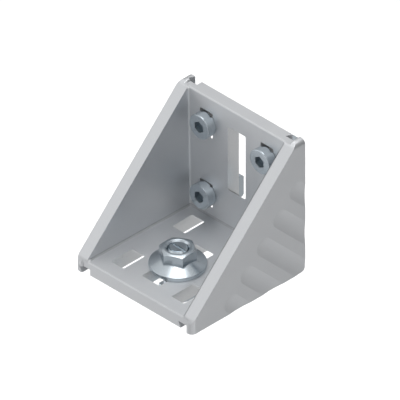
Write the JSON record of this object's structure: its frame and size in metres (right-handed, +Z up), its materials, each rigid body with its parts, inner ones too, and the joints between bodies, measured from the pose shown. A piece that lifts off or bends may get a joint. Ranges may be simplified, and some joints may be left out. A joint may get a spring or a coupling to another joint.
{
  "type": "t slot corner bracket",
  "caption": "Die-cast corner bracket that joins slotted framing profiles at a right angle, with its hammer bolt, flange nut, cap screws and slot nuts.",
  "frame": {"origin": "middle of the underside of the base plate, in its contact plane", "axes": "+X across the width to the right, +Y from the open front to the back plate and square to its contact face, +Z up along the back plate and square to the base plate"},
  "size_m": [0.077, 0.085, 0.0846],
  "materials": {
    "cast_aluminium": "die-cast, blasted matt",
    "zinc_steel": "bright zinc plate"
  },
  "bodies": {
    "root": {"bracket_body": "cast_aluminium", "hammer_bolt": "zinc_steel", "flange_nut": "zinc_steel", "cap_screw_upper_left": "zinc_steel", "cap_screw_upper_right": "zinc_steel", "cap_screw_lower_left": "zinc_steel", "cap_screw_lower_right": "zinc_steel", "slot_nut_upper_left": "zinc_steel", "slot_nut_upper_right": "zinc_steel", "slot_nut_lower_left": "zinc_steel", "slot_nut_lower_right": "zinc_steel"}
  },
  "joints": []
}
